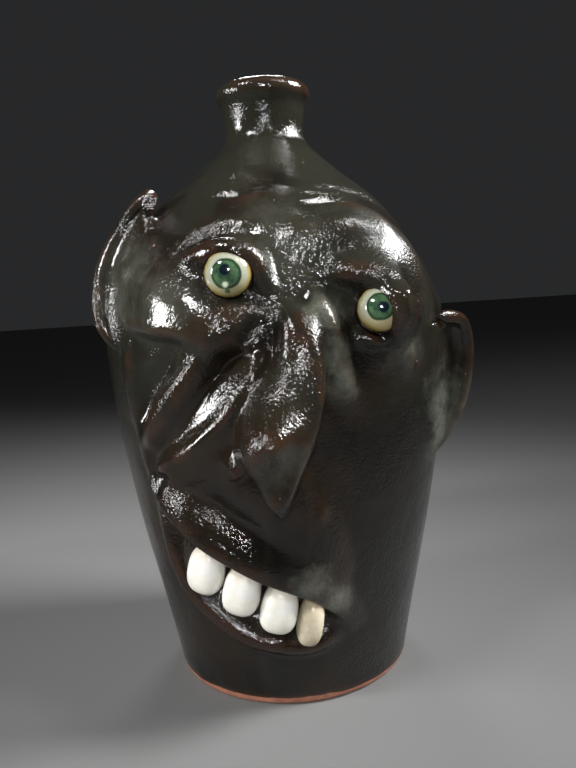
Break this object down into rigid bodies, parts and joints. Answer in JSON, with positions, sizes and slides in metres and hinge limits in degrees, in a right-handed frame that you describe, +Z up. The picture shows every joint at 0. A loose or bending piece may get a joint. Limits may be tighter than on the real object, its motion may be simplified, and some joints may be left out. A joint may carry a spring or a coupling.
{
  "type": "face jug",
  "caption": "Hollow stoneware jug with a narrow rolled neck and a carved grotesque face, with inset ball eyes and teeth.",
  "frame": {"origin": "middle of the underside, on the axis the body was turned about", "axes": "+Z up along the jug's axis, the face looks along -Y, +X is on the right of someone facing it"},
  "size_m": [0.1436, 0.1657, 0.24],
  "materials": {
    "glaze": "glossy dark brown to black glaze",
    "eye": "glossy cream glaze with a painted iris",
    "tooth": "satin white"
  },
  "bodies": {
    "root": {"jug": "glaze", "left_eye": "eye", "right_eye": "eye", "tooth_1": "tooth", "tooth_2": "tooth", "tooth_3": "tooth", "tooth_4": "tooth"}
  },
  "joints": []
}
